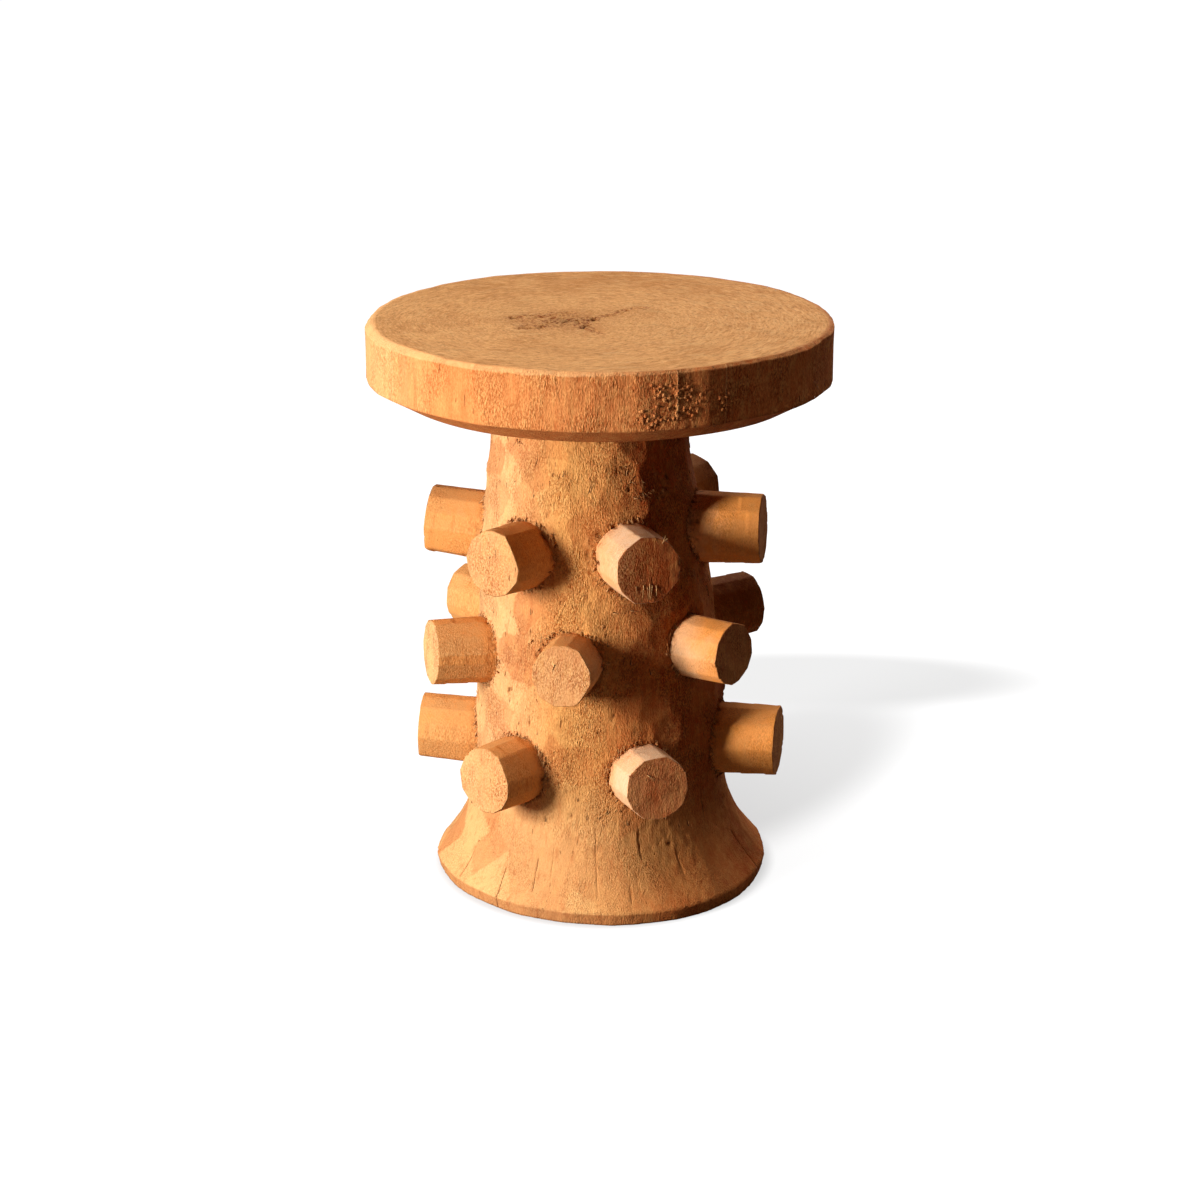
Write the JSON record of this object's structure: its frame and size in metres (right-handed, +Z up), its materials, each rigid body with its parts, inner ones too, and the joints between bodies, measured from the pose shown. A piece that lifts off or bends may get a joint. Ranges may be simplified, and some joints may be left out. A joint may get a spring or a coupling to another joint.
{
  "type": "carved wooden stool",
  "caption": "Carved wooden stool or side table: thick round seat on a flared column studded with rows of short round pegs.",
  "frame": {"origin": "on the floor, under the centre of the seat", "axes": "+Z up, front of the stool faces -Y, +X to the right seen from the front"},
  "size_m": [0.3576, 0.3558, 0.45],
  "materials": {
    "seat_wood": "raw, hand hewn, matte",
    "column_wood": "raw, hand hewn, matte",
    "peg_wood": "raw, whittled, matte"
  },
  "bodies": {
    "root": {"seat": "seat_wood", "column": "column_wood", "peg_top_left": "peg_wood", "peg_top_front_left": "peg_wood", "peg_top_front_right": "peg_wood", "peg_top_right": "peg_wood", "peg_top_rear_right": "peg_wood", "peg_top_rear_left": "peg_wood", "peg_middle_rear_left": "peg_wood", "peg_middle_left": "peg_wood", "peg_middle_front": "peg_wood", "peg_middle_front_right": "peg_wood", "peg_middle_rear_right": "peg_wood", "peg_middle_rear": "peg_wood", "peg_low_left": "peg_wood", "peg_low_front_left": "peg_wood", "peg_low_front_right": "peg_wood", "peg_low_right": "peg_wood", "peg_low_rear_right": "peg_wood", "peg_low_rear_left": "peg_wood"}
  },
  "joints": []
}
